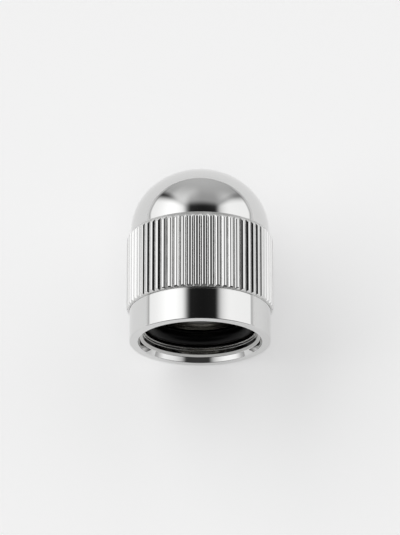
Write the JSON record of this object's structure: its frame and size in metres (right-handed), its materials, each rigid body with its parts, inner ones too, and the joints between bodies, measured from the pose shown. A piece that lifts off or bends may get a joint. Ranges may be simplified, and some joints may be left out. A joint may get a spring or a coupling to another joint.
{
  "type": "tyre valve cap",
  "caption": "Domed metal cap with a straight-knurled grip band that screws onto a tyre valve stem and seals on a rubber ring inside its mouth.",
  "frame": {"origin": "centre of the mouth, in the plane of its rim", "axes": "+Z along the cap's axis, from the mouth to the top of the dome; the cap stands on its rim"},
  "size_m": [0.0112, 0.0112, 0.0138],
  "materials": {
    "plated_metal": "polished",
    "black_rubber": "satin"
  },
  "bodies": {
    "root": {"cap_shell": "plated_metal", "sealing_ring": "black_rubber"}
  },
  "joints": []
}
